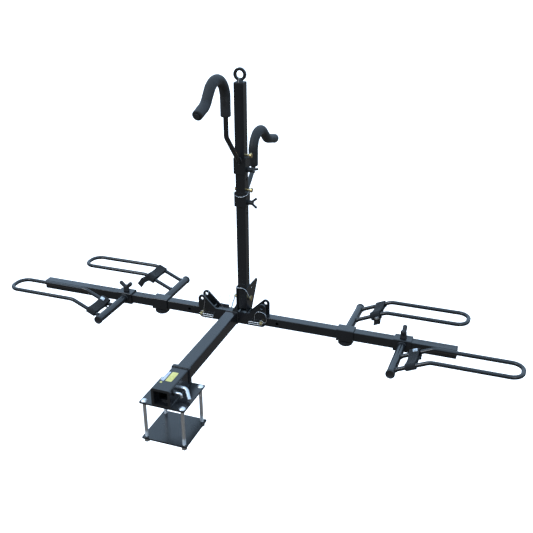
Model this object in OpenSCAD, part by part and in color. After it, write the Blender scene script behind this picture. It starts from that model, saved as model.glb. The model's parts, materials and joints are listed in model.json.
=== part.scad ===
// Hitch mounted bike rack for two bikes.
//
// A square stinger carries a hub with two folding arms and a mast that folds back.
// Each arm has two wheel trays that slide along it, and the mast has two hooks that slide
// on it and hold the frames. The stinger is pinned in a receiver tube that clamps on a
// square bumper. The origin is the centre of the underside of the top clamp plate, +Z is
// up and +Y points away from the vehicle. Lengths are in millimetres.

/* [Bumper clamp] */
// Side of each square clamp plate
plate_size = 173; // [168:1:180]
// Thickness of the clamp and hub plates
plate_t = 6.35; // [5:0.05:8]
// Distance between the two clamp plates
clamp_gap = 141.5; // [130:0.5:150]
// Spacing of the four clamp bolts, both ways
bolt_pitch = 146; // [134:1:148]
// Diameter of the clamp bolts
bolt_d = 12.7; // [10:0.1:14]

/* [Receiver and stinger] */
// Outer side of the receiver tube
receiver_size = 63.5; // [62:0.5:66]
// Inner side of the receiver tube
receiver_inner = 52.3; // [51.5:0.1:54]
// Side of the stinger tube
stinger_size = 50.8; // [50:0.1:51]
// Distance from the clamp's centre to the arms
hub_y = 565; // [500:5:640]

/* [Hub] */
// Distance of each arm's pin from the middle
arm_pin_x = 131; // [126:1:134]
// Height of each ear's hole above the arms' centre
ear_z = 63; // [58:1:68]
// Radius of the ears
ear_r = 16; // [13:0.5:18]

/* [Arms and mast] */
// Side of the arm and mast tubes
tube_size = 38.1; // [38:0.1:38.4]
// Distance from the middle to each arm's tip
arm_reach = 904; // [860:1:940]
// Offset of the mast from the stinger's centre plane
mast_x = 45.5; // [44:0.5:47]
// Height of the mast's top above the arms' centre
mast_top = 951; // [940:1:955]

/* [Mast hooks] */
// Diameter of the hook rods
hook_d = 18; // [16:0.5:19]
// Outer diameter of the foam sleeves
foam_d = 38; // [34:0.5:40]

/* [Wheel trays] */
// Place of the right front tray along the arms
right_front_x = 700; // [680:1:720]
// Place of the right rear tray along the arms
right_rear_x = 475; // [460:1:500]
// Place of the left front tray along the arms
left_front_x = 502; // [480:1:520]
// Place of the left rear tray along the arms
left_rear_x = 332; // [320:1:350]
// Distance from a tray's cross tube to the loop's far end
loop_reach = 445; // [400:1:470]
// Spacing of the loop's two rods
loop_gap = 98; // [80:1:104]
// Height of the loop above the arms' centre
loop_rise = 60; // [50:1:60]

/* [Hidden] */
// Name, distance out, side, row, and where the strap sits along the loop's slope
TRAYS = [
    ["right_front", right_front_x, 1, -1, 66],
    ["right_rear", right_rear_x, 1, 1, 92],
    ["left_front", left_front_x, -1, -1, 44],
    ["left_rear", left_rear_x, -1, 1, 106]
];
TRAY_PIECES = ["collar", "cross_tube", "wheel_loop", "knob", "strap"];

$fn = 64;

black = "#1c1e22";
plastic = "#17181a";
foam_grey = "#2b2c2e";
zinc = "#c9ccd0";
yellow_zinc = "#c8a64a";

// The stinger's centre height, and the arms' centre height above the origin
stinger_z = plate_t + receiver_size / 2;
arm_z = stinger_z + 1;
receiver_start = -plate_size / 2;
receiver_end = plate_size / 2 - 5;
collar_length = 12;
collar_wall = 4.5;
bolt_clear = 0.4;
run_clear = 0.05;
hitch_pin_r = 7.9;
hitch_pin_y = -2;
hitch_clip_x = -41;
anti_rattle_r = 5;
anti_rattle_at = [0, -52, stinger_z + 11];
bolt_below = 15;
plate_corner = 2.5;

// Hub plates stand either side of the arms
half_gap = 20;
hub_half = arm_pin_x + ear_r;
hub_top = 27;
hub_bottom = -23;
hub_flat = 72;
pivot_r = 6.35;
pivot_head_r = 11;
pivot_reach = 44;
hairpin_at = -37;
hairpin_r = 1.5;
hairpin_reach = 54;
lanyard_r = 1;

// Mast bracket plates, in the hub's frame as [y, z]
bracket_t = 4;
bracket_gap = tube_size + 1.1;
bracket_front = -half_gap - plate_t;
bracket_top = 141;
bracket_ear = [78, 129];
bracket_ear_r = 12;
bracket_hole = [30, 121];
mast_pivot_z = 87;
mast_foot = 45;
tilt_hole_up = norm([bracket_hole[0], bracket_hole[1] - mast_pivot_z]);
mast_hairpin_lean = 40;

tube_wall = 3.2;
arm_inner_end = 75;
arm_hole_out = arm_pin_x + ear_z;

// Hook carriages: bottom, top, and how the rod leaves
sleeve_size = 49;
sleeve_bore = tube_size + 1.2;
upper_z = [612, 673];
lower_z = [482, 537];
carriage_pin_r = 4.75;
pin_above = 9;
hole_pitch = 31.5;
hole_rows = 4;
upper_rod_z = 662;
lower_rod_z = 512;
rod_leg = [137, 122];
rod_knee = [782, 594];
rod_bow = [75, 68];
rod_apex = [995, 729];
rod_drop = [50, 42];
rod_turn_out = [303, 276];
rod_flare = [17, 14];
rod_tail = [371, 371];
flare_bend = 55;
foam_start = [855, 604];
foam_bore_r = hook_d / 2 + 0.2;
bare_tip = 3;

// Trays, in a frame with the arm's centre at the origin, +X outboard and -Y to the tray's side
collar_size = 50;
collar_length_x = 68;
cross_r = 16;
cross_end = 234;
loop_r = 8;
loop_near = 110;
loop_run = 132;
loop_corner = 42;
loop_knee = 60;
strap_w = 36;
strap_t = 3;
knob_stud_r = 4;

function unit(v) = v / norm(v);
function last(list) = list[len(list) - 1];

// Turn at point i of a path, and how far its bend reaches along each side
function turn(path, i) = acos(unit(path[i] - path[i - 1]) * unit(path[i + 1] - path[i]));
function reach(path, radii, i) =
    (i == 0 || i == len(path) - 1) ? 0 : radii[i - 1] * tan(turn(path, i) / 2);

// One straight of rod between two points
module straight(a, b, r) {
    d = b - a;
    translate(a)
        rotate([0, acos(d[2] / norm(d)), atan2(d[1], d[0])])
            cylinder(h = norm(d), r = r);
}

// One bend at point i: a stretch of torus in the plane of the two straights
module bend(path, i, bend_r, r) {
    u = unit(path[i] - path[i - 1]);
    w = unit(path[i + 1] - path[i]);
    n = unit(w - u * (u * w));
    start = path[i] - u * bend_r * tan(turn(path, i) / 2);
    centre = start + n * bend_r;
    z = cross(-n, u);
    multmatrix([
        [-n[0], u[0], z[0], centre[0]],
        [-n[1], u[1], z[1], centre[1]],
        [-n[2], u[2], z[2], centre[2]],
        [0, 0, 0, 1]])
        rotate_extrude(angle = turn(path, i))
            translate([bend_r, 0]) circle(r = r);
}

// A round rod along a path, with a bend of its own radius at each inner point. The straights
// are a hair thinner than the bends and run a little way into them, so that they join cleanly.
module bent_rod(path, radii, r) {
    lap = 0.3;
    ends = len(path) - 1;
    for (i = [0:ends - 1]) {
        u = unit(path[i + 1] - path[i]);
        a = path[i] + u * (reach(path, radii, i) - (i > 0 ? lap : 0));
        b = path[i + 1] - u * (reach(path, radii, i + 1) - (i + 1 < ends ? lap : 0));
        straight(a, b, r - 0.02);
    }
    for (i = [1:ends - 1]) bend(path, i, radii[i - 1], r);
}

module rounded_square(w, d, r) {
    square([w - 2 * r, d], center = true);
    square([w, d - 2 * r], center = true);
    for (x = [-1, 1], y = [-1, 1])
        translate([x * (w / 2 - r), y * (d / 2 - r)]) circle(r = r);
}

// Square tube along +Z, outer side w, wall t, corner radius r
module square_tube(w, t, h, r) {
    linear_extrude(h)
        difference() {
            rounded_square(w, w, r);
            square(w - 2 * t, center = true);
        }
}

module at_hub() {
    translate([0, hub_y, arm_z]) children();
}

module at_mast() {
    at_hub() translate([mast_x, 0, 0]) children();
}

module at_bolts() {
    for (x = [-1, 1], y = [-1, 1])
        translate([x * bolt_pitch / 2, y * bolt_pitch / 2, 0]) children();
}

module clamp_plate() {
    linear_extrude(plate_t)
        difference() {
            rounded_square(plate_size, plate_size, plate_corner);
            at_bolts() circle(r = bolt_d / 2 + bolt_clear);
        }
}

module clamp_top_plate() {
    color(black) clamp_plate();
}

module clamp_bottom_plate() {
    color(black) translate([0, 0, -clamp_gap - plate_t]) clamp_plate();
}

// Round-head bolts that hang through both plates
module clamp_bolts() {
    head_r = 12;
    head_h = 7;
    dome_r = (head_r * head_r + head_h * head_h) / (2 * head_h);
    color(zinc) at_bolts() {
        translate([0, 0, -clamp_gap - plate_t - bolt_below])
            cylinder(h = clamp_gap + 2 * plate_t + bolt_below, r = bolt_d / 2);
        intersection() {
            translate([0, 0, plate_t + head_h - dome_r]) sphere(r = dome_r);
            translate([0, 0, plate_t]) cylinder(h = head_h + 1, r = head_r);
        }
    }
}

// A washer and a hex nut under the bottom plate on each bolt
module clamp_nuts() {
    nut_across = 19;
    nut_h = 11;
    washer_t = 2;
    color(zinc) at_bolts()
        translate([0, 0, -clamp_gap - plate_t])
            difference() {
                union() {
                    translate([0, 0, -washer_t]) cylinder(h = washer_t, r = 13);
                    translate([0, 0, -washer_t - nut_h])
                        cylinder(h = nut_h, r = nut_across / 2 / cos(30), $fn = 6);
                }
                translate([0, 0, -washer_t - nut_h - 1])
                    cylinder(h = washer_t + nut_h + 2, r = bolt_d / 2 + 0.1);
            }
}

module across_receiver(r, y, z) {
    translate([-receiver_size, y, z]) rotate([0, 90, 0]) cylinder(h = 2 * receiver_size, r = r);
}

module receiver_tube() {
    nut_h = 9;
    color(black) difference() {
        union() {
            translate([0, receiver_start, stinger_z]) rotate([-90, 0, 0])
                square_tube(receiver_size, (receiver_size - receiver_inner) / 2,
                    receiver_end - receiver_start, 5);
            translate([receiver_size / 2, 0, 0] + anti_rattle_at) rotate([0, 90, 0])
                cylinder(h = nut_h, r = 11, $fn = 6);
        }
        across_receiver(hitch_pin_r + run_clear, hitch_pin_y, stinger_z);
        translate(anti_rattle_at) rotate([0, 90, 0])
            cylinder(h = receiver_size, r = anti_rattle_r + run_clear);
    }
}

// Reinforcing bands over the top and sides of the receiver's two ends, down to the plate
module receiver_collar() {
    outer = receiver_size + 2 * collar_wall;
    color(black) difference() {
        for (y = [receiver_start, receiver_end - collar_length])
            translate([0, y, stinger_z]) rotate([-90, 0, 0])
                linear_extrude(collar_length)
                    difference() {
                        rounded_square(outer, outer, 8);
                        rounded_square(receiver_size + 0.02, receiver_size + 0.02, 5);
                    }
        translate([-outer, -plate_size, plate_t - 20]) cube([2 * outer, 2 * plate_size, 20.01]);
    }
}

// L-shaped bolt that presses on the stinger's side
module anti_rattle_bolt() {
    handle = 30;
    drop = 13;
    color(zinc) translate(anti_rattle_at)
        bent_rod([[stinger_size / 2 + 0.5, 0, 0], [receiver_size / 2 + handle, 0, 0],
            [receiver_size / 2 + handle, 0, -drop]], [7], anti_rattle_r);
}

// Bent pin: its handle lies against the top plate
module hitch_pin() {
    knee = [56, hitch_pin_y, stinger_z];
    handle = 46 * unit([0.56, -0.70, -0.44]);
    color(zinc) difference() {
        bent_rod([[-47, hitch_pin_y, stinger_z], knee, knee + handle], [20], hitch_pin_r);
        translate([hitch_clip_x, hitch_pin_y + 10, stinger_z]) rotate([90, 0, 0])
            cylinder(h = 20, r = hairpin_r + 0.2);
    }
}

module hitch_pin_clip() {
    color(zinc) translate([hitch_clip_x, hitch_pin_y, stinger_z])
        rotate([90, 0, 0]) rotate([0, -90, 0]) hairpin(hitch_pin_r);
}

module stinger() {
    start = -60;
    color(black) difference() {
        translate([0, start, stinger_z]) rotate([-90, 0, 0])
            square_tube(stinger_size, 4.8, hub_y - half_gap - plate_t - start, 4);
        across_receiver(hitch_pin_r + run_clear, hitch_pin_y, stinger_z);
    }
}

// Where a line from `from` meets a circle that it touches; side is 1 for the left side of it
function touch(from, centre, r, side) =
    let (d = centre - from, a = atan2(d[1], d[0]) + side * asin(r / norm(d)))
        centre + r * side * [-sin(a), cos(a)];

// Front view of a hub plate
module hub_outline() {
    corner = 18;
    foot = [hub_half - corner, hub_bottom + corner];
    ear = [arm_pin_x, ear_z];
    shoulder = touch([hub_flat, hub_top], ear, ear_r, 1);
    right_edge = [[hub_half, foot[1]], [hub_half, ear_z], ear, shoulder, [hub_flat, hub_top]];
    left_edge = [for (i = [len(right_edge) - 1:-1:0]) [-right_edge[i][0], right_edge[i][1]]];
    polygon(concat(right_edge, left_edge));
    translate([-foot[0], hub_bottom]) square([2 * foot[0], 2 * corner]);
    for (side = [-1, 1]) {
        translate([side * foot[0], foot[1]]) circle(r = corner);
        translate([side * arm_pin_x, ear_z]) circle(r = ear_r);
    }
}

module hub_holes() {
    for (side = [-1, 1], z = [0, ear_z])
        translate([side * arm_pin_x, z]) circle(r = pivot_r + run_clear);
}

// Stand a front view drawing up as a plate whose front face is at y
module stand(y) {
    at_hub() translate([0, y + plate_t, 0]) rotate([90, 0, 0]) linear_extrude(plate_t) children();
}

module hub_front_plate() {
    left = mast_x - bracket_gap / 2 - bracket_t;
    color(black) stand(-half_gap - plate_t)
        difference() {
            union() {
                hub_outline();
                polygon([[left - 20, hub_top - 1], [left, hub_top - 1], [left, 64],
                    [left - 20, hub_top]]);
            }
            hub_holes();
        }
}

module hub_rear_plate() {
    notch_at = [-32, -2];
    notch = [52, 60];
    color(black) stand(half_gap)
        difference() {
            hub_outline();
            hub_holes();
            translate(notch_at) square(notch);
        }
}

// Welded between the hub plates: the core, and a bar over each arm's inner end that stops it
module hub_core() {
    stop_r = 5;
    color(black) at_hub() {
        translate([-hub_flat + 2, -half_gap, -19]) cube([2 * hub_flat - 4, 2 * half_gap, 38]);
        for (side = [-1, 1])
            translate([side * 85, -half_gap, tube_size / 2 + 0.3 + stop_r]) rotate([-90, 0, 0])
                cylinder(h = 2 * half_gap, r = stop_r);
    }
}

// Side view of a mast bracket plate, as [y, z]
module bracket_outline() {
    heel = [38, 44];
    difference() {
        union() {
            polygon([[bracket_front, hub_top], [bracket_front, bracket_top],
                [bracket_ear[0], bracket_top], bracket_ear,
                touch(heel, bracket_ear, bracket_ear_r, -1), heel, [-bracket_front, hub_top]]);
            translate(bracket_ear) circle(r = bracket_ear_r);
        }
        translate([0, mast_pivot_z]) circle(r = pivot_r + run_clear);
        translate(bracket_hole) circle(r = pivot_r + run_clear);
    }
}

module mast_bracket() {
    color(black) at_mast()
        for (x = [-bracket_gap / 2 - bracket_t, bracket_gap / 2])
            translate([x, 0, 0]) rotate([90, 0, 90]) linear_extrude(bracket_t) bracket_outline();
}

// Clevis pin along Z, centred between the plates that it joins, with its head at the top
module pivot_pin(head_at) {
    nose = 3;
    difference() {
        union() {
            translate([0, 0, -pivot_reach + nose])
                cylinder(h = head_at + pivot_reach - nose, r = pivot_r);
            translate([0, 0, -pivot_reach]) cylinder(h = nose, r1 = pivot_r - 2, r2 = pivot_r);
            translate([0, 0, head_at]) cylinder(h = 5, r = pivot_head_r);
        }
        translate([-10, 0, hairpin_at]) rotate([0, 90, 0]) cylinder(h = 20, r = hairpin_r + 0.2);
    }
}

module pivot_pins() {
    color(yellow_zinc) {
        for (side = [-1, 1])
            at_hub() translate([side * arm_pin_x, 0, 0]) rotate([-90, 0, 0])
                pivot_pin(34);
        at_mast() translate([0, 0, mast_pivot_z])
            rotate([mast_hairpin_lean, 0, 0]) rotate([0, 90, 0]) rotate([0, 0, 90]) pivot_pin(28);
    }
}

// Hairpin clip: one leg runs along X through a pin of radius r, the other lies beside the pin
module hairpin(r = pivot_r) {
    gap = r + hairpin_r + 0.55;
    bent_rod([[-r - 2.7, 0, 0], [hairpin_reach, 0, 0], [hairpin_reach, -gap, 0], [-r, -gap, 0]],
        [gap / 2, gap / 2], hairpin_r);
}

module right_hairpin() {
    color(zinc) at_hub() translate([arm_pin_x, hairpin_at, 0]) rotate([90, 0, 180]) hairpin();
}

module left_hairpin() {
    mirror([1, 0, 0]) right_hairpin();
}

module mast_hairpin() {
    color(zinc) at_mast() translate([hairpin_at, 0, mast_pivot_z])
        rotate([mast_hairpin_lean - 90, 0, 0]) rotate([0, 90, 0]) hairpin();
}

// Ring of lanyard wire round a shaft of radius r along Z
module wire_ring(r) {
    rotate_extrude() translate([r + lanyard_r + 0.4, 0]) circle(r = lanyard_r);
}

// Wire lanyards that keep the clips with their pins
module pin_lanyards() {
    ring_at = 29;
    mast_ring = 26;
    color(zinc) {
        at_hub() {
            for (side = [-1, 1])
                translate([side * arm_pin_x, -ring_at, 0]) rotate([90, 0, 0]) wire_ring(pivot_r);
            bent_rod([[arm_pin_x + 7.7, -ring_at, 0], [arm_pin_x + 21, -ring_at, 0],
                [arm_pin_x + 21, -ring_at, 46], [arm_pin_x - 29, -ring_at, 46],
                [arm_pin_x - 29, -ring_at - 2, 6]], [9, 22, 22], lanyard_r);
            bent_rod([[-arm_pin_x + 5.5, -ring_at, 5.5], [-119, -ring_at, 40],
                [-113, -ring_at, 86], [-92, -12, 102], [-65, 4, 86], [-58, 10, 44],
                [-57, 10, 20.2]], [30, 18, 18, 20, 20], lanyard_r);
            bent_rod([[-arm_pin_x + 6.3, -ring_at, -4.6], [-112, -ring_at - 2, -30],
                [-92, -38, -52], [-56, -42, -56], [-28, -40, -26]], [24, 22, 24], lanyard_r);
        }
        at_mast() {
            for (x = [-ring_at, mast_ring])
                translate([x, 0, mast_pivot_z]) rotate([0, 90, 0]) wire_ring(pivot_r);
            bent_rod([[mast_ring, -5.5, mast_pivot_z + 5.5], [37, -34, 108], [20, -36, 146],
                [-34, -36, 140], [-50, -34, 100], [-52, -30, 70], [-41, -20, 66]],
                [14, 26, 30, 40, 6], lanyard_r);
        }
    }
}

module arm() {
    at_hub() difference() {
        translate([arm_inner_end, 0, 0]) rotate([0, 90, 0])
            square_tube(tube_size, tube_wall, arm_reach - 4 - arm_inner_end, 2.5);
        for (x = [arm_pin_x, arm_hole_out])
            translate([x, 50, 0]) rotate([90, 0, 0]) cylinder(h = 100, r = pivot_r + run_clear);
    }
}

// Plug-in end cap for a square tube, along +Z with its face at 0
module square_cap() {
    linear_extrude(4) rounded_square(tube_size, tube_size, 3);
    translate([0, 0, -14]) linear_extrude(14)
        difference() {
            square(tube_size - 2 * tube_wall - 0.2, center = true);
            square(tube_size - 2 * tube_wall - 5, center = true);
        }
}

module arm_cap() {
    at_hub() translate([arm_reach - 4, 0, 0]) rotate([0, 90, 0]) square_cap();
}

module right_arm() {
    color(black) arm();
}

module left_arm() {
    color(black) mirror([1, 0, 0]) arm();
}

module right_arm_cap() {
    color(plastic) arm_cap();
}

module left_arm_cap() {
    color(plastic) mirror([1, 0, 0]) arm_cap();
}

// Heights of the two carriage pins
function carriage_pin_z(range) = range[1] + pin_above;

module mast() {
    color(black) at_mast() difference() {
        translate([0, 0, mast_foot])
            square_tube(tube_size, tube_wall, mast_top - 4 - mast_foot, 2.5);
        for (z = [mast_pivot_z, mast_pivot_z + tilt_hole_up])
            translate([-50, 0, z]) rotate([0, 90, 0]) cylinder(h = 100, r = pivot_r + run_clear);
        for (top = [carriage_pin_z(upper_z), carriage_pin_z(lower_z)], i = [0:hole_rows - 1])
            translate([-50, 0, top - i * hole_pitch]) rotate([0, 90, 0])
                cylinder(h = 100, r = carriage_pin_r + run_clear);
    }
}

module mast_cap() {
    color(plastic) at_mast() translate([0, 0, mast_top - 4])
        difference() {
            square_cap();
            translate([0, 0, -20]) cylinder(h = 30, r = 6.1);
        }
}

// Eye bolt through the mast's cap: a flat-bored ring, a shoulder, a shank and its nut
module eye_bolt() {
    ring_z = 978;
    ring_bore = 13.5;
    ring_w = 11;
    shoulder_h = 14;
    color(black) at_mast() {
        translate([0, 0, ring_z]) rotate([90, 0, 0])
            rotate_extrude()
                translate([ring_bore + ring_w / 2, 0]) rounded_square(ring_w, ring_w, 2.5);
        difference() {
            translate([0, 0, mast_top]) cylinder(h = shoulder_h, r1 = 13, r2 = 8);
            translate([0, 5, ring_z]) rotate([90, 0, 0])
                cylinder(h = 10, r = ring_bore + ring_w - 0.5);
        }
        translate([0, 0, mast_top - 32]) cylinder(h = 32, r = 6);
        translate([0, 0, mast_top - 30]) cylinder(h = 10, r = 10.5, $fn = 6);
    }
}

// Lanyard of one carriage pin, looped round the pin each side of the mast and hanging across it
module carriage_lanyard(pin_z, face) {
    right = tube_size / 2 + 12;
    left = -tube_size / 2 - 8;
    front = face * 29;
    sag = 26;
    translate([0, 0, pin_z]) {
        for (x = [left, right])
            translate([x, 0, 0]) rotate([0, 90, 0]) wire_ring(carriage_pin_r);
        bent_rod([[right, face * 4.3, -4.3], [right, front, -sag / 2], [0, front, -sag],
            [left, front, -sag / 2], [left, face * 4.3, -4.3]], [10, 30, 10], lanyard_r);
    }
}

module mast_lanyards() {
    color(zinc) at_mast() {
        carriage_lanyard(carriage_pin_z(upper_z), 1);
        carriage_lanyard(carriage_pin_z(lower_z), -1);
    }
}

// Sleeve on the mast between two heights, threaded for its knob low on the right face
module carriage(range) {
    color(black) at_mast() difference() {
        translate([0, 0, range[0]])
            linear_extrude(range[1] - range[0])
                difference() {
                    rounded_square(sleeve_size, sleeve_size, 4);
                    square(sleeve_bore, center = true);
                }
        translate([0, 0, range[0] + 14]) rotate([0, 90, 0])
            cylinder(h = 50, r = knob_stud_r + run_clear);
    }
}

module upper_carriage() {
    carriage(upper_z);
}

module lower_carriage() {
    carriage(lower_z);
}

// Points of hook i, in the mast's frame: out of the sleeve, up the leg, over the bow, down the
// tail and out along the flare at its end
function hook_path(i, start, side) =
    let (leg = rod_leg[i], bow = rod_bow[i], out = rod_turn_out[i],
        corner_z = rod_apex[i] - bow + bow * tan((90 + rod_drop[i]) / 2),
        out_z = corner_z - (out - leg) * tan(rod_drop[i]))
    [
        [0, side * start[0], start[1]],
        [0, side * leg, rod_knee[i]],
        [0, side * leg, corner_z],
        [0, side * out, out_z],
        [0, side * rod_tail[i], out_z - (rod_tail[i] - out) * tan(rod_flare[i])]
    ];

module hook_rod(i, rod_z, side) {
    inside = sleeve_bore / 2;
    slope = (rod_knee[i] - rod_z) / (rod_leg[i] - sleeve_size / 2);
    path = hook_path(i, [inside, rod_z - slope * (sleeve_size / 2 - inside)], side);
    color(black) at_mast() difference() {
        bent_rod(path, [24, rod_bow[i], flare_bend], hook_d / 2);
        translate([-sleeve_size / 2, -sleeve_size / 2, rod_z - 60])
            cube([sleeve_size, sleeve_size, 120]);
    }
}

// Foam over the leg, bow and tail of hook i, with a little of the rod bare at the tip
module foam(i, side) {
    path = hook_path(i, [0, 0], side);
    bends = [rod_bow[i], flare_bend];
    along = unit(last(path) - path[3]);
    start = [0, side * rod_leg[i], foam_start[i]];
    color(foam_grey) at_mast() difference() {
        bent_rod([start, path[2], path[3], last(path) - bare_tip * along], bends, foam_d / 2);
        bent_rod([start - [0, 0, 1], path[2], path[3], last(path) + along], bends, foam_bore_r);
    }
}

module rod_cap(i, side) {
    path = hook_path(i, [0, 0], side);
    along = unit(last(path) - path[3]);
    color(plastic) at_mast()
        straight(last(path) + 0.01 * along, last(path) + 3 * along, hook_d / 2 + 1);
}

module upper_hook_rod() {
    hook_rod(0, upper_rod_z, -1);
}

module lower_hook_rod() {
    hook_rod(1, lower_rod_z, 1);
}

module upper_foam() {
    foam(0, -1);
}

module lower_foam() {
    foam(1, 1);
}

module upper_rod_cap() {
    rod_cap(0, -1);
}

module lower_rod_cap() {
    rod_cap(1, 1);
}

// Pin through the mast above a carriage, pulled out to the right
module carriage_pin(range) {
    tip = -tube_size / 2 - 10;
    head = tube_size / 2 + 17;
    color(yellow_zinc) at_mast() translate([0, 0, carriage_pin_z(range)]) rotate([0, 90, 0]) {
        translate([0, 0, tip]) cylinder(h = head - tip, r = carriage_pin_r);
        translate([0, 0, head]) cylinder(h = 6, r = 9);
    }
}

module upper_pin() {
    carriage_pin(upper_z);
}

module lower_pin() {
    carriage_pin(lower_z);
}

// Wing knob on a stud along Z. Its base is at 0, and its wings reach out along X.
module wing_knob(span, height, wing_t, hub_r, stud_below) {
    tip_r = wing_t / 2;
    translate([0, 0, -stud_below]) cylinder(h = stud_below + 4, r = knob_stud_r);
    cylinder(h = height * 0.55, r1 = hub_r, r2 = hub_r * 0.85);
    for (side = [-1, 1])
        hull($fn = 24) {
            translate([side * hub_r * 0.3, 0, height * 0.38]) sphere(r = tip_r * 0.9);
            translate([side * (span / 2 - tip_r), 0, height - tip_r]) sphere(r = tip_r);
        }
}

module carriage_knob(range, spin) {
    color(plastic) at_mast() translate([sleeve_size / 2 + 1, 0, range[0] + 14])
        rotate([0, 90, 0]) rotate([0, 0, spin]) wing_knob(44, 36, 10, 10, 5);
}

module upper_knob() {
    carriage_knob(upper_z, 90);
}

module lower_knob() {
    carriage_knob(lower_z, 0);
}

// Put a tray's pieces on its arm: side is 1 on the right, row is -1 in front
module at_tray(t) {
    at_hub() translate([t[2] * t[1], 0, 0])
        mirror([t[2] < 0 ? 1 : 0, 0, 0]) mirror([0, t[3] > 0 ? 1 : 0, 0]) children();
}

// The front trays' knobs are on top, the rear trays' underneath
module at_knob(t) {
    at_tray(t) mirror([0, 0, t[3] > 0 ? 1 : 0]) translate([0, 0, collar_size / 2]) children();
}

module tray_collar(t) {
    color(black) difference() {
        at_tray(t) translate([-collar_length_x / 2, 0, 0]) rotate([0, 90, 0])
            linear_extrude(collar_length_x)
                difference() {
                    rounded_square(collar_size, collar_size, 4);
                    square(sleeve_bore, center = true);
                }
        at_knob(t) translate([0, 0, -10]) cylinder(h = 20, r = knob_stud_r + run_clear);
    }
}

module tray_cross_tube(t) {
    start = collar_size / 2;
    color(black) at_tray(t) translate([0, -start, 0]) rotate([90, 0, 0])
        difference() {
            cylinder(h = cross_end - start, r = cross_r);
            translate([0, 0, 5]) cylinder(h = cross_end, r = cross_r - 2.5);
        }
}

// Rod bent into the long loop that holds a wheel, welded on the cross tube
module tray_wheel_loop(t) {
    near = -loop_near;
    far = near - loop_gap;
    color(black) at_tray(t) difference() {
        bent_rod([[0, near, 0], [loop_run, near, loop_rise], [loop_reach, near, loop_rise],
            [loop_reach, far, loop_rise], [loop_run, far, loop_rise], [0, far, 0]],
            [loop_knee, loop_corner, loop_corner, loop_knee], loop_r);
        rotate([90, 0, 0]) cylinder(h = cross_end, r = cross_r);
    }
}

// Strap round both rods of the loop, where they slope
module tray_strap(t) {
    inner = loop_r + 0.4;
    slope = atan2(loop_rise, loop_run);
    color(plastic) at_tray(t)
        translate([t[4], -loop_near - loop_gap / 2, t[4] * loop_rise / loop_run])
            rotate([90, 0, 90]) rotate([-slope, 0, 0]) translate([0, 0, -strap_w / 2])
            linear_extrude(strap_w)
                difference() {
                    band(inner + strap_t);
                    band(inner);
                }
}

module band(r) {
    square([loop_gap, 2 * r], center = true);
    for (side = [-1, 1]) translate([side * loop_gap / 2, 0]) circle(r = r);
}

// Round hand knob with finger flutes on a stud along Z, its base at 0
module round_knob(r, height, stud_below) {
    edge = 6;
    flutes = 6;
    translate([0, 0, -stud_below]) cylinder(h = stud_below + 4, r = knob_stud_r);
    difference() {
        union() {
            cylinder(h = height - edge, r = r);
            translate([0, 0, height - edge]) cylinder(h = edge, r1 = r, r2 = r - edge);
        }
        for (i = [0:flutes - 1])
            rotate([0, 0, i * 360 / flutes]) translate([r + 6, 0, -1])
                cylinder(h = height + 2, r = 9);
    }
}

// The front trays' knobs have wings, and the rear trays' are round
module tray_knob(t) {
    spin = t[0] == "right_front" ? 90 : 0;
    below = (collar_size - sleeve_bore) / 2 + 2;
    color(plastic) at_knob(t) translate([0, 0, 2]) {
        if (t[3] < 0) rotate([0, 0, spin]) wing_knob(62, 42, 18, 13, below);
        else round_knob(30, 18, below);
    }
}

clamp_top_plate();
clamp_bolts();
clamp_bottom_plate();
clamp_nuts();
receiver_tube();
receiver_collar();
anti_rattle_bolt();
hitch_pin();
hitch_pin_clip();
stinger();
hub_front_plate();
hub_rear_plate();
hub_core();
mast_bracket();
pivot_pins();
pin_lanyards();
left_hairpin();
right_hairpin();
mast_hairpin();
left_arm();
right_arm();
left_arm_cap();
right_arm_cap();
mast();
mast_cap();
eye_bolt();
mast_lanyards();
upper_carriage();
upper_hook_rod();
upper_foam();
upper_rod_cap();
upper_pin();
upper_knob();
lower_carriage();
lower_hook_rod();
lower_foam();
lower_rod_cap();
lower_pin();
lower_knob();
for (t = TRAYS) {
    tray_collar(t);
    tray_cross_tube(t);
    tray_wheel_loop(t);
    tray_knob(t);
    tray_strap(t);
}
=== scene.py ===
"""Hitch mounted bike rack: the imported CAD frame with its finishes, soft parts and small trim."""
import json
import math

import bmesh
import bpy
from mathutils import Matrix, Vector


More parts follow.
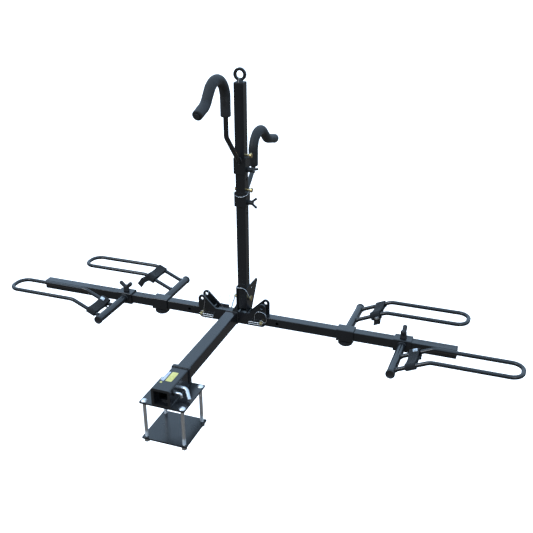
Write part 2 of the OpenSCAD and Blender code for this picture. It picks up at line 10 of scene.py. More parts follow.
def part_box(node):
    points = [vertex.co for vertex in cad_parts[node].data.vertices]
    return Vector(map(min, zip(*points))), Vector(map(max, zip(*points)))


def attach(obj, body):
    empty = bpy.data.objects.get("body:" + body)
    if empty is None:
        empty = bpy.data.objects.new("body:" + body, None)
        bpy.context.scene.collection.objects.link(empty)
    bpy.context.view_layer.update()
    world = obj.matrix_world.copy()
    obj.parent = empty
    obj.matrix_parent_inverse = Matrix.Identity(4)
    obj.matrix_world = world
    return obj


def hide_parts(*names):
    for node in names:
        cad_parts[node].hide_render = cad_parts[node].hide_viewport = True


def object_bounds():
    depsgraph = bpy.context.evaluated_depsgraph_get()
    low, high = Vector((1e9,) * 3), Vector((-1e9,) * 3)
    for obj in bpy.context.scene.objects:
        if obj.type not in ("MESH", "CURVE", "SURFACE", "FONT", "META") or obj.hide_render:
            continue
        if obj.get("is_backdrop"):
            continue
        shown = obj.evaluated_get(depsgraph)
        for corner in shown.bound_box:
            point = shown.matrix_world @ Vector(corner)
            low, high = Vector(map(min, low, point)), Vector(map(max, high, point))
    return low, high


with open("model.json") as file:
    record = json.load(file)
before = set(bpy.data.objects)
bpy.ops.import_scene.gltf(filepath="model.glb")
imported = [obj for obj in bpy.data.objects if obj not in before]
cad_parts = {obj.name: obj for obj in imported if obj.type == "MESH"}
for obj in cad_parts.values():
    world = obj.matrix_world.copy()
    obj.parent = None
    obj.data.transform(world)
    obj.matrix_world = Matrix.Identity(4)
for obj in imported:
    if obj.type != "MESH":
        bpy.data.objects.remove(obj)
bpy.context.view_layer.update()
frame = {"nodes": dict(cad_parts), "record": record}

X, Y, Z = Vector((1, 0, 0)), Vector((0, 1, 0)), Vector((0, 0, 1))

# The camera, in the frame's metres and degrees
CAMERA_AT = Vector((1.107, -2.012, 1.519))
CAMERA_AZIMUTH = 20.5
CAMERA_ELEVATION = 24.3
CAMERA_ROLL = -0.3
CAMERA_LENS = 51.8

# The sky's colours from 0, straight against its lean (down and forward), to 1, along it, its
# strength, and the lamps: name, place, size and power
SKY_LEAN = (0.0, 0.22, 0.975)
SKY = ((0.0, (0.10, 0.10, 0.095)), (0.40, (0.07, 0.07, 0.07)), (0.52, (0.10, 0.105, 0.11)),
       (0.66, (0.44, 0.62, 0.84)), (1.0, (0.58, 0.78, 1.0)))
SKY_STRENGTH = 1.5
LAMPS = (("key", (-2.2, -2.6, 3.2), 1.6, 60), ("fill", (3.0, -2.2, 1.6), 1.4, 20))

# The hooks: which side they reach to, how far out the leg stands, the bow's radius, the tail's drop
# in degrees, how far out it turns, its flare in degrees, and how a rod's cut on its carriage stretches
HOOKS = {
    "upper": {"side": -1, "leg": 0.137, "bow": 0.075, "drop": 50, "turn_out": 0.303, "flare": 17,
              "stretch": 1.46},
    "lower": {"side": 1, "leg": 0.122, "bow": 0.068, "drop": 42, "turn_out": 0.276, "flare": 14,
              "stretch": 1.31},
}
FLARE_BEND = 0.055
HOOK_ROD_R = 0.009

# The foam: the roll of its ends, how far its skin stays inside the CAD solid, the creases inside its
# bends (height, and radians per metre), and its two slumps (the same, and turns round it)
FOAM_ROLL = 0.0045
FOAM_INSIDE = 0.0003
CREASE_HEIGHT = 0.0007
CREASE_RATE = 560
LONG_SLUMP = (0.00022, 71, 2)
SHORT_SLUMP = (0.00014, 190, -1)

# The wheel trays: side, row, how the strap's tail lies, and the buckle's place round the inner
# rod, in degrees from the top
LOOP_ROD_R = 0.008
LOOP_SLOPE = math.atan2(60, 132)
TRAYS = {
    "right_front": {"side": 1, "row": -1, "tail": "tucked", "buckle": -28},
    "right_rear": {"side": 1, "row": 1, "tail": "tucked", "buckle": 105},
    "left_front": {"side": -1, "row": -1, "tail": "tucked", "buckle": -38},
    "left_rear": {"side": -1, "row": 1, "tail": "loose", "buckle": None},
}

# The wheel straps: webbing size, rod spacing from the loop's middle, and the pitch of the weave
STRAP_WIDTH = 0.038
STRAP_THICK = 0.0024
STRAP_ROD_Y = 0.049
LOOSE_TAIL_WIDTH = 0.026
TUCKED_TAIL_WIDTH = 0.030
WEAVE_PITCH = 0.0016

# How far a strap's wrap, and the layer under it, stand off the inner rod and the outer rod, and how
# far each is drawn in between the rods; how far the under layer is shifted, and how much narrower
WRAP_OFF = (0.0085, 0.0045)
WRAP_PINCH = 0.0075
UNDER_OFF = (0.0055, 0.0018)
UNDER_PINCH = 0.0062
UNDER_SHIFT = 0.003
UNDER_NARROWER = 0.004

# The loose tail: its start along, down and inward from the inner rod, its bend and end from there,
# the bend's radius, and the way its width leans
LOOSE_START = (0.010, 0.002, 0.008)
LOOSE_RUN = ((0.020, -0.004, -0.010), (0.038, -0.010, -0.036))
LOOSE_BEND = 0.012
LOOSE_LEAN = (0.7, 0, 0.714)

# The tucked tail: its start down and outward from the inner rod, its turn down and inward from the
# rod, its end down and inward from the turn, and the turn's radius
TUCKED_START = (0.005, 0.012)
TUCKED_TURN = (0.012, 0.008)
TUCKED_END = (0.016, 0.005)
TUCKED_BEND = 0.004

# The buckle: its parts (name, size, lift and thickness), the corners of their outer and inner edges,
# the bevel between them, and its place off the rod and, as a share of the strap's width, along it
BUCKLE_PARTS = (("plate", (0.018, 0.013), 0.0, 0.0014), ("lever", (0.009, 0.010), 0.0024, 0.0020))
BUCKLE_CORNERS = (0.003, 0.0026)
BUCKLE_BEVEL = 0.0012
BUCKLE_OFF = 0.0115
BUCKLE_SHARE = 0.18

# The weld beads' radii, and how far their middles stand off a tube or a rod
WELD_R = {"tray_collar": 0.0026, "loop_rod": 0.0018, "hook_rod": 0.0022, "receiver": 0.0032,
          "stinger": 0.003, "collar": 0.0022, "bracket": 0.0024}
TUBE_WELD_OFF = 0.0006
ROD_WELD_OFF = 0.0008

# The receiver's bands along Y, the bolts' threads, and the floor's drop below the rack
COLLAR_LENGTH = 0.012
THREAD_PITCH = 0.00195
THREAD_TOP = -0.118
FLOOR_DROP = 0.30

# The labels on the receiver: centre in X and Y, width, length and film
LABELS = (
    ("label_yellow", (-0.001, 0.006), 0.024, 0.060, "yellow_film"),
    ("label_silver", (-0.0225, 0.004), 0.010, 0.060, "silver_film"),
    ("label_dot", (-0.0225, -0.036), 0.008, 0.008, "yellow_film"),
)


# ---------------------------------------------------------------- materials
class Shader:
    """A material's node tree, with short ways to add and join nodes."""

    def __init__(self, name):
        self.material = bpy.data.materials.new(name)
        self.material.use_nodes = True
        self.tree = self.material.node_tree
        self.surface = self.tree.nodes["Principled BSDF"]
        self.place = self.add("ShaderNodeTexCoord").outputs["Object"]

    def add(self, kind, **values):
        made = self.tree.nodes.new(kind)
        for key, value in values.items():
            setattr(made, key, value)
        return made

    def join(self, start, end):
        self.tree.links.new(start, end)

    def set(self, **values):
        for key, value in values.items():
            self.surface.inputs[key.replace("_", " ")].default_value = value

    def noise(self, scale, detail=4.0, rough=0.55, stretch=None):
        made = self.add("ShaderNodeTexNoise")
        made.inputs["Scale"].default_value = scale
        made.inputs["Detail"].default_value = detail
        made.inputs["Roughness"].default_value = rough
        source = self.place
        if stretch:
            mapping = self.add("ShaderNodeMapping")
            mapping.inputs["Scale"].default_value = stretch
            self.join(source, mapping.inputs["Vector"])
            source = mapping.outputs["Vector"]
        self.join(source, made.inputs["Vector"])
        return made.outputs["Fac"]

    def ramp(self, value, *stops):
        made = self.add("ShaderNodeValToRGB")
        points = made.color_ramp.elements
        while len(points) < len(stops):
            points.new(0.5)
        for point, (at, colour) in zip(points, stops):
            point.position = at
            point.color = (*colour, 1.0)
        self.join(value, made.inputs["Fac"])
        return made.outputs["Color"]

    def spread(self, value, low, high, start=0.3, end=0.7):
        made = self.add("ShaderNodeMapRange")
        made.inputs["From Min"].default_value = start
        made.inputs["From Max"].default_value = end
        made.inputs["To Min"].default_value = low
        made.inputs["To Max"].default_value = high
        self.join(value, made.inputs["Value"])
        return made.outputs["Result"]

    def bump(self, height, distance, strength=1.0, under=None):
        made = self.add("ShaderNodeBump")
        made.inputs["Strength"].default_value = strength
        made.inputs["Distance"].default_value = distance
        self.join(height, made.inputs["Height"])
        if under:
            self.join(under, made.inputs["Normal"])
        return made.outputs["Normal"]

    def worn_edges(self, reach=0.0012):
        """1 on convex edges and 0 on flats, from how far a bevelled normal leans off the true one."""
        bevel = self.add("ShaderNodeBevel", samples=4)
        bevel.inputs["Radius"].default_value = reach
        true = self.add("ShaderNodeNewGeometry")
        dot = self.add("ShaderNodeVectorMath", operation="DOT_PRODUCT")
        self.join(bevel.outputs["Normal"], dot.inputs[0])
        self.join(true.outputs["Normal"], dot.inputs[1])
        return self.spread(dot.outputs["Value"], 1.0, 0.0, 0.75, 0.97)

    def mix(self, amount, first, second):
        """Blend of two colours; 6, 7 and 2 are the node's colour sockets A, B and Result."""
        made = self.add("ShaderNodeMix", data_type="RGBA")
        self.join(amount, made.inputs["Factor"])
        self.join(first, made.inputs[6])
        self.join(second, made.inputs[7])
        return made.outputs[2]


def powder_coat():
    """Semi-gloss black powder coat: orange peel, a fine grain, and slightly burnished edges."""
    m = Shader("black_powder_coat")
    cloud = m.noise(9.0, 3.0)
    base = m.ramp(cloud, (0.25, (0.0085, 0.0092, 0.0105)), (0.75, (0.014, 0.0150, 0.0170)))
    edge = m.ramp(m.worn_edges(), (0.0, (0.0, 0.0, 0.0)), (1.0, (0.35, 0.35, 0.35)))
    worn = m.ramp(cloud, (0.3, (0.045, 0.048, 0.052)), (0.7, (0.075, 0.078, 0.082)))
    m.join(m.mix(edge, base, worn), m.surface.inputs["Base Color"])
    m.join(m.spread(m.noise(38.0, 5.0), 0.17, 0.28), m.surface.inputs["Roughness"])
    peel = m.bump(m.noise(520.0, 2.0, 0.5), 0.00006, 0.8)
    m.join(m.bump(m.noise(2600.0, 2.0), 0.00002, 0.7, peel), m.surface.inputs["Normal"])
    m.set(Coat_Weight=0.25, Coat_Roughness=0.22)
    return m.material


def plated(name, low, high, smear, threads=False):
    """Zinc-plated steel: a mottled plate, fine drawing lines, and rolled threads where asked."""
    m = Shader(name)
    cloud = m.noise(70.0, 6.0, 0.65)
    m.join(m.ramp(cloud, (0.3, low), (0.7, high)), m.surface.inputs["Base Color"])
    m.join(m.spread(m.noise(180.0, 4.0), *smear), m.surface.inputs["Roughness"])
    lines = m.bump(m.noise(900.0, 3.0, 0.6, (1.0, 1.0, 0.06)), 0.00004, 0.5)
    if threads:
        split = m.add("ShaderNodeSeparateXYZ")
        m.join(m.place, split.inputs["Vector"])
        turns = m.add("ShaderNodeMath", operation="MULTIPLY")
        turns.inputs[1].default_value = 2 * math.pi / THREAD_PITCH
        m.join(split.outputs["Z"], turns.inputs[0])
        wave = m.add("ShaderNodeMath", operation="SINE")
        m.join(turns.outputs["Value"], wave.inputs[0])
        below = m.spread(split.outputs["Z"], 1.0, 0.0, THREAD_TOP - 0.001, THREAD_TOP)
        cut = m.add("ShaderNodeMath", operation="MULTIPLY")
        m.join(wave.outputs["Value"], cut.inputs[0])
        m.join(below, cut.inputs[1])
        lines = m.bump(cut.outputs["Value"], 0.0006, 1.0, lines)
    m.join(lines, m.surface.inputs["Normal"])
    m.set(Metallic=1.0)
    return m.material


def moulded_plastic():
    """Black moulded plastic with a fine spark-eroded grain."""
    m = Shader("black_plastic")
    cloud = m.noise(24.0, 4.0)
    m.join(m.ramp(cloud, (0.3, (0.013, 0.013, 0.014)), (0.7, (0.024, 0.024, 0.026))),
           m.surface.inputs["Base Color"])
    m.join(m.spread(m.noise(60.0, 4.0), 0.42, 0.58), m.surface.inputs["Roughness"])
    m.join(m.bump(m.noise(1500.0, 4.0, 0.6), 0.00007, 0.7), m.surface.inputs["Normal"])
    return m.material


def closed_foam():
    """Dark closed-cell foam: a skin with fine cells, handling dents and dusty high spots."""
    m = Shader("closed_cell_foam")
    cloud = m.noise(32.0, 5.0, 0.6)
    m.join(m.ramp(cloud, (0.3, (0.006, 0.0063, 0.007)), (0.72, (0.015, 0.0158, 0.0175))),
           m.surface.inputs["Base Color"])
    m.join(m.spread(cloud, 0.50, 0.70), m.surface.inputs["Roughness"])
    cells = m.add("ShaderNodeTexVoronoi")
    cells.inputs["Scale"].default_value = 850.0
    m.join(m.place, cells.inputs["Vector"])
    dents = m.bump(m.noise(110.0, 3.0), 0.0007, 0.6)
    m.join(m.bump(cells.outputs["Distance"], 0.00022, 0.8, dents), m.surface.inputs["Normal"])
    m.set(Sheen_Weight=0.08, Sheen_Roughness=0.5)
    return m.material


def webbing():
    """Woven nylon: warp and weft ribs along the strap's own UVs, a little lint, worn high threads."""
    m = Shader("nylon_webbing")
    uv = m.add("ShaderNodeUVMap")
    split = m.add("ShaderNodeSeparateXYZ")
    m.join(uv.outputs["UV"], split.inputs["Vector"])
    waves = []
    for axis, shift in (("X", 0.0), ("Y", math.pi / 2)):
        scaled = m.add("ShaderNodeMath", operation="MULTIPLY_ADD")
        scaled.inputs[1].default_value = 2 * math.pi / WEAVE_PITCH
        scaled.inputs[2].default_value = shift
        m.join(split.outputs[axis], scaled.inputs[0])
        wave = m.add("ShaderNodeMath", operation="SINE")
        m.join(scaled.outputs["Value"], wave.inputs[0])
        waves.append(wave.outputs["Value"])
    weave = m.add("ShaderNodeMath", operation="MULTIPLY")
    m.join(waves[0], weave.inputs[0])
    m.join(waves[1], weave.inputs[1])
    lint = m.noise(300.0, 5.0, 0.7)
    height = m.add("ShaderNodeMath", operation="ADD")
    m.join(weave.outputs["Value"], height.inputs[0])
    m.join(lint, height.inputs[1])
    level = m.spread(height.outputs["Value"], 0.0, 1.0, -0.8, 1.8)
    m.join(m.ramp(level, (0.0, (0.004, 0.004, 0.0045)), (1.0, (0.017, 0.0175, 0.0195))),
           m.surface.inputs["Base Color"])
    m.join(m.bump(height.outputs["Value"], 0.00035, 0.9), m.surface.inputs["Normal"])
    m.join(m.spread(lint, 0.75, 0.95), m.surface.inputs["Roughness"])
    m.set(Sheen_Weight=0.06, Sheen_Roughness=0.45)
    return m.material


def sticker_film(name, low, high):
    """Printed film under a clear laminate, a little faded and scuffed."""
    m = Shader(name)
    fade = m.noise(60.0, 4.0, 0.6)
    m.join(m.ramp(fade, (0.3, low), (0.7, high)), m.surface.inputs["Base Color"])
    m.join(m.spread(m.noise(240.0, 5.0), 0.22, 0.45), m.surface.inputs["Roughness"])
    m.join(m.bump(m.noise(400.0, 3.0), 0.00003, 0.6), m.surface.inputs["Normal"])
    m.set(Coat_Weight=0.4, Coat_Roughness=0.15)
    return m.material


MATERIALS = {
    "black_coat": powder_coat(),
    "zinc": plated("bright_zinc", (0.60, 0.63, 0.66), (0.82, 0.85, 0.88), (0.22, 0.40)),
    "threaded_zinc": plated("threaded_zinc", (0.80, 0.81, 0.82), (0.94, 0.95, 0.96), (0.32, 0.50),
                            threads=True),
    "yellow_zinc": plated("yellow_zinc", (0.62, 0.44, 0.16), (0.85, 0.72, 0.40), (0.20, 0.36)),
    "black_plastic": moulded_plastic(),
    "foam": closed_foam(),
    "webbing": webbing(),
    "yellow_film": sticker_film("yellow_film", (0.62, 0.53, 0.10), (0.80, 0.72, 0.24)),
    "silver_film": sticker_film("silver_film", (0.42, 0.46, 0.60), (0.62, 0.66, 0.78)),
}


def finish_cad_nodes():
    """Every carried-over CAD node takes its slot's material, and the bolts their threads."""
    slots = {s["node"]: s["material_slot"] for s in frame["record"]["subparts"]}
    for name, node in frame["nodes"].items():
        finish = "threaded_zinc" if name == "clamp_bolts" else slots[name]
        node.data.materials.clear()
        node.data.materials.append(MATERIALS[finish])


# ---------------------------------------------------------------- mesh helpers
def mesh_piece(name, points, faces, slot, body, material=None, uvs=None, smooth=True):
    """A mesh object that rides on a CAD body; uvs gives one (u, v) for each point."""
    data = bpy.data.meshes.new(name)
    data.from_pydata([tuple(p) for p in points], [], faces)
    data.validate()
    if uvs:
        layer = data.uv_layers.new(name="UVMap")
        for loop in data.loops:
            layer.data[loop.index].uv = uvs[loop.vertex_index]
    data.polygons.foreach_set("use_smooth", [smooth] * len(data.polygons))
    made = bpy.data.objects.new(name, data)
    bpy.context.scene.collection.objects.link(made)
    data.materials.append(MATERIALS[material or slot])
    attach(made, body)
    return made


def frames_along(path, closed):
    """Two unit normals at each point of a path, carried along it without twist."""
    count = len(path)
    made = []
    normal = None
    for i, here in enumerate(path):
        before = path[i - 1] if (i or closed) else here
        after = path[(i + 1) % count] if (i + 1 < count or closed) else here
        along = (after - before).normalized()
        if normal is None:
            normal = Z if abs(along.z) < 0.95 else X
        normal = (normal - along * normal.dot(along)).normalized()
        made.append((normal.copy(), along.cross(normal)))
    return made


def swept_tube(name, path, radii, slot, body, sides, closed):
    """A tube of the given radius at each point of its path, with flat ends unless it is closed."""
    points = []
    for here, radius, (u, v) in zip(path, radii, frames_along(path, closed)):
        for k in range(sides):
            angle = 2 * math.pi * k / sides
            points.append(here + (u * math.cos(angle) + v * math.sin(angle)) * radius)
    faces = []
    rings = len(path)
    for i in range(rings if closed else rings - 1):
        a, b = i * sides, ((i + 1) % rings) * sides
        for k in range(sides):
            n = (k + 1) % sides
            faces.append((a + k, a + n, b + n, b + k))
    if not closed:
        faces.append(tuple(reversed(range(sides))))
        faces.append(tuple(range((rings - 1) * sides, rings * sides)))
    return mesh_piece(name, points, faces, slot, body)


def weld_bead(name, path, body, size, closed=False):
    """A weld bead along a path: a rippled tube half sunk in the joint."""
    fine = resample(path, size * 0.28, closed)
    radii = [size * (1 + 0.13 * math.sin(i * 2.1)) for i in range(len(fine))]
    return swept_tube(name, fine, radii, "black_coat", body, 10, closed)


def resample(path, step, closed=False):
    """Points at about even steps along a path."""
    corners = list(path) + ([path[0]] if closed else [])
    made = []
    for a, b in zip(corners, corners[1:]):
        count = max(1, round((b - a).length / step))
        made += [a.lerp(b, k / count) for k in range(count)]
    return made if closed else made + [corners[-1]]


def circle(centre, u, v, radius, count=40):
    """Points round a circle in the plane of u and v."""
    turns = [2 * math.pi * k / count for k in range(count)]
    return [centre + (u * math.cos(t) + v * math.sin(t)) * radius for t in turns]


def rounded_loop(centre, u, v, width, height, corner, steps=5):
    """Points round a rectangle with rounded corners in the plane of u and v."""
    made = []
    for quarter, (su, sv) in enumerate(((1, 1), (-1, 1), (-1, -1), (1, -1))):
        middle = centre + u * su * (width / 2 - corner) + v * sv * (height / 2 - corner)
        for k in range(steps + 1):
            turn = math.pi / 2 * (quarter + k / steps)
            made.append(middle + (u * math.cos(turn) + v * math.sin(turn)) * corner)
    return made


# ---------------------------------------------------------------- foam sleeves
def bent_path(corners, radii, step=0.004):
    """Even points along a run of straights with a bend of its own radius at each inner corner."""
    made = [corners[0]]
    for i, radius in enumerate(radii, 1):
        before = (corners[i] - corners[i - 1]).normalized()
        after = (corners[i + 1] - corners[i]).normalized()
        turn = before.angle(after)
        start = corners[i] - before * radius * math.tan(turn / 2)
        inward = (after - before * after.dot(before)).normalized()
        centre = start + inward * radius
        made += resample([made[-1], start], step)[1:]
        count = max(2, round(turn * radius / step))
        for k in range(1, count + 1):
            angle = turn * k / count
            made.append(centre - inward * radius * math.cos(angle) + before * radius * math.sin(angle))
    return made + resample([made[-1], corners[-1]], step)[1:]


def hook_centreline(which):
    """Middle of a hook's foam: up the leg, over the bow, down the tail and out along its flare."""
    facts = HOOKS[which]
    low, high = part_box(f"{which}_foam")
    side, radius, bow = facts["side"], (high.x - low.x) / 2, facts["bow"]
    drop, flare = math.radians(facts["drop"]), math.radians(facts["flare"])
    x = (high.x + low.x) / 2
    leg_y = low.y + radius if side > 0 else high.y - radius
    tip_y = high.y - radius * math.sin(flare) if side > 0 else low.y + radius * math.sin(flare)
    corner_z = high.z - radius - bow + bow * math.tan((math.pi / 2 + drop) / 2)
    run = facts["turn_out"] - facts["leg"]
    out = Vector((x, leg_y + side * run, corner_z - run * math.tan(drop)))
    tip = Vector((x, tip_y, out.z - abs(tip_y - out.y) * math.tan(flare)))
    corners = [Vector((x, leg_y, low.z)), Vector((x, leg_y, corner_z)), out, tip]
    return bent_path(corners, [bow, FLARE_BEND]), radius


def foam_sleeve(which):
    """Soft sleeve over a hook's leg, bow and tail: rolled ends, creases inside the bends, small dents."""
    side = HOOKS[which]["side"]
    path, radius = hook_centreline(which)
    run = [0.0]
    for a, b in zip(path, path[1:]):
        run.append(run[-1] + (b - a).length)
    total, roll, sides, steps = run[-1], FOAM_ROLL, 44, 6
    rolled = [roll * (1 - math.cos(math.pi / 2 * k / steps)) for k in range(steps + 1)]
    inner = [s for s in run if roll + 0.001 < s < total - roll - 0.001]
    stations = sorted(rolled + [total - e for e in rolled] + inner)
    points, uvs, rows = [], [], []
    for s in stations:
        i = min(max(j for j in range(len(run)) if run[j] <= s + 1e-9), len(path) - 2)
        here = path[i].lerp(path[i + 1], (s - run[i]) / (run[i + 1] - run[i]))
        tangent = (path[i + 1] - path[i]).normalized()
        past = (path[min(i + 2, len(path) - 1)] - path[i]).normalized()
        outward = tangent.cross(X) * -side
        hollow = max(-1.0, min(1.0, (past - tangent).dot(outward) * 40))
        rounding = roll - math.sqrt(max(0.0, roll ** 2 - max(0.0, roll - min(s, total - s)) ** 2))
        ring = []
        for k in range(sides):
            turn = 2 * math.pi * k / sides
            toward = math.cos(turn)
            crease = CREASE_HEIGHT * max(0.0, toward * hollow) ** 2 * math.sin(s * CREASE_RATE)
            slump = sum(height * math.sin(s * rate + turns * turn)
                        for height, rate, turns in (LONG_SLUMP, SHORT_SLUMP))
            r = radius - FOAM_INSIDE - rounding + crease + slump
            ring.append(len(points))
            points.append(here + (outward * toward + X * math.sin(turn)) * r)
            uvs.append((s, turn * radius))
        rows.append(ring)
    faces = []
    for a, b in zip(rows, rows[1:]):
        for k in range(sides):
            n = (k + 1) % sides
            faces.append((a[k], a[n], b[n], b[k]))
    for ring, at, ahead in ((rows[0], path[0], path[1]), (rows[-1], path[-1], path[-2])):
        toward_tip = 1 if ring is rows[0] else -1
        tangent = (ahead - at).normalized() * toward_tip
        outward = tangent.cross(X) * -side
        rim = []
        for k in range(sides):
            turn = 2 * math.pi * k / sides
            rim.append(len(points))
            points.append(at + (outward * math.cos(turn) + X * math.sin(turn)) * (HOOK_ROD_R + 0.0003))
            uvs.append((0.0, turn * radius))
        for k in range(sides):
            n = (k + 1) % sides
            faces.append((ring[k], ring[n], rim[n], rim[k]))
    made = mesh_piece(f"{which}_foam_sleeve", points, faces, "foam", f"{which}_hook", uvs=uvs)
    tidy_normals(made)
    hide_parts(f"{which}_foam")


def tidy_normals(piece):
    """Turn all of a closed piece's faces outwards."""
    work = bmesh.new()
    work.from_mesh(piece.data)
    bmesh.ops.recalc_face_normals(work, faces=work.faces)
    work.to_mesh(piece.data)
    work.free()


# ---------------------------------------------------------------- wheel straps
def strap(name, facts):
    """Webbing wrapped loosely round both rods of a wheel loop, pinched between them, with its tail."""
    low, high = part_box(f"{name}_strap")
    side, row = facts["side"], facts["row"]
    body = f"{name}_tray"
    middle = (low + high) / 2
    along = Vector((side * math.cos(LOOP_SLOPE), 0, math.sin(LOOP_SLOPE)))
    up = Vector((-side * math.sin(LOOP_SLOPE), 0, math.cos(LOOP_SLOPE)))
    out = Y * row
    width, thick, rod_y, rod = STRAP_WIDTH, STRAP_THICK, STRAP_ROD_Y, LOOP_ROD_R

    def ring(inner_r, outer_r, pinch):
        """Closed line round the inner rod (at -rod_y) and the outer rod, drawn in between them."""
        line = []
        for centre, radius, start in ((rod_y, outer_r, 0.5), (-rod_y, inner_r, 1.5)):
            for k in range(15):
                turn = math.pi * (start - k / 14)
                line.append((centre + radius * math.cos(turn), radius * math.sin(turn)))
            sign = -1 if centre > 0 else 1
            other = inner_r if centre > 0 else outer_r
            for k in range(1, 14):
                t = k / 14
                flat = radius + (other - radius) * t
                drawn = pinch * math.sin(math.pi * t) ** 0.8
                line.append((centre * (1 - 2 * t), sign * (flat - drawn)))
        return [middle + out * y + up * z for y, z in line]

    wrap = ring(rod + WRAP_OFF[0], rod + WRAP_OFF[1], WRAP_PINCH)
    band = ribbon(f"{name}_band", wrap, width, thick, body, closed=True, across=along)
    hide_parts(f"{name}_strap")
    under = ring(rod + UNDER_OFF[0], rod + UNDER_OFF[1], UNDER_PINCH)
    shifted = [p + along * UNDER_SHIFT for p in under]
    ribbon(f"{name}_under", shifted, width - UNDER_NARROWER, thick, body, closed=True, across=along)

    inner = middle - out * rod_y
    if facts["tail"] == "loose":
        ahead, down, off = LOOSE_START
        start = inner + along * ahead - up * down - out * (rod + off)
        run = [start] + [start + Vector((side * x, y, z)) for x, y, z in LOOSE_RUN]
        tail = bent_path(run, [LOOSE_BEND], 0.002)
        lean_x, lean_y, lean_z = LOOSE_LEAN
        leaning = Vector((side * lean_x, lean_y, lean_z))
        ribbon(f"{name}_tail", tail, LOOSE_TAIL_WIDTH, thick, body, across=leaning)
    else:
        start = inner - up * (rod + TUCKED_START[0]) + out * TUCKED_START[1]
        turned = inner - up * (rod + TUCKED_TURN[0]) - out * TUCKED_TURN[1]
        end = turned - Z * TUCKED_END[0] - out * TUCKED_END[1]
        tail = bent_path([start, turned, end], [TUCKED_BEND], 0.002)
        ribbon(f"{name}_tail", tail, TUCKED_TAIL_WIDTH, thick, body, across=along)
    if facts["buckle"] is not None:
        turn = math.radians(facts["buckle"])
        away = up * math.cos(turn) - out * math.sin(turn)
        centre = inner + away * (rod + BUCKLE_OFF) + along * width * BUCKLE_SHARE
        buckle(name, centre, along, away, body)


def ribbon(name, path, width, thick, body, across, closed=False):
    """A flat strap of real thickness along a path, with stitched edge ridges and UVs in metres."""
    count = len(path)
    profile = [(-0.5, 0.25), (-0.47, 0.5), (-0.42, 0.5), (-0.40, 0.42), (0.0, 0.42), (0.40, 0.42),
               (0.42, 0.5), (0.47, 0.5), (0.5, 0.25), (0.5, -0.25), (0.47, -0.5), (0.0, -0.5),
               (-0.47, -0.5), (-0.5, -0.25)]
    points, uvs, faces = [], [], []
    run = 0.0
    for i, here in enumerate(path):
        before = path[i - 1] if (i or closed) else here
        after = path[(i + 1) % count] if (i + 1 < count or closed) else here
        along = (after - before).normalized()
        out = along.cross(across).normalized()
        if i:
            run += (here - path[i - 1]).length
        for u, v in profile:
            points.append(here + across * u * width + out * v * thick)
            uvs.append((run, u * width))
    size = len(profile)
    for i in range(count if closed else count - 1):
        a, b = i * size, ((i + 1) % count) * size
        for k in range(size):
            n = (k + 1) % size
            faces.append((a + k, b + k, b + n, a + n))
    if not closed:
        faces.append(tuple(range(size)))
        faces.append(tuple(reversed(range((count - 1) * size, count * size))))
    return mesh_piece(name, points, faces, "webbing", body, uvs=uvs)


def buckle(name, centre, along, away, body):
    """Small buckle on the wrap: a rounded plate with a raised lever over it."""
    across = away.cross(along).normalized()
    for part, (length, width), lift, thick in BUCKLE_PARTS:
        seat = centre + away * lift
        outline = rounded_loop(seat, along, across, length, width, BUCKLE_CORNERS[0])
        inner = rounded_loop(seat, along, across, length - BUCKLE_BEVEL, width - BUCKLE_BEVEL,
                             BUCKLE_CORNERS[1])
        rows = [outline, [p + away * thick * 0.7 for p in outline], [p + away * thick for p in inner]]
        count = len(outline)
        points = [p for row in rows for p in row]
        faces = [tuple(reversed(range(count))), tuple(range(2 * count, 3 * count))]
        for i in range(2):
            for k in range(count):
                n = (k + 1) % count
                faces.append((i * count + k, i * count + n, (i + 1) * count + n, (i + 1) * count + k))
        tidy_normals(mesh_piece(f"{name}_buckle_{part}", points, faces, "zinc", body, smooth=False))


# ---------------------------------------------------------------- caps, welds and stickers
def domed_cap(name, centre, axis, radius, body):
    """Moulded end cap over a round tube: a rim, a rounded shoulder and a shallow dished face."""
    u = axis.orthogonal().normalized()
    v = axis.cross(u)
    rim, depth = 0.0016, 0.006
    profile = [(radius, -depth), (radius + rim * 0.8, -depth), (radius + rim, -depth * 0.6),
               (radius + rim, depth * 0.2), (radius + rim * 0.6, depth * 0.55),
               (radius - 0.001, depth * 0.62), (radius * 0.78, depth * 0.5),
               (radius * 0.74, depth * 0.36), (radius * 0.3, depth * 0.33), (0.0003, depth * 0.33)]
    count = 40
    points, faces = [], []
    for r, along in profile:
        points += [p + axis * along for p in circle(centre, u, v, r, count)]
    for i in range(len(profile) - 1):
        for k in range(count):
            n = (k + 1) % count
            faces.append((i * count + k, i * count + n, (i + 1) * count + n, (i + 1) * count + k))
    faces.append(tuple(range((len(profile) - 1) * count, len(profile) * count)))
    return mesh_piece(name, points, faces, "black_plastic", body)


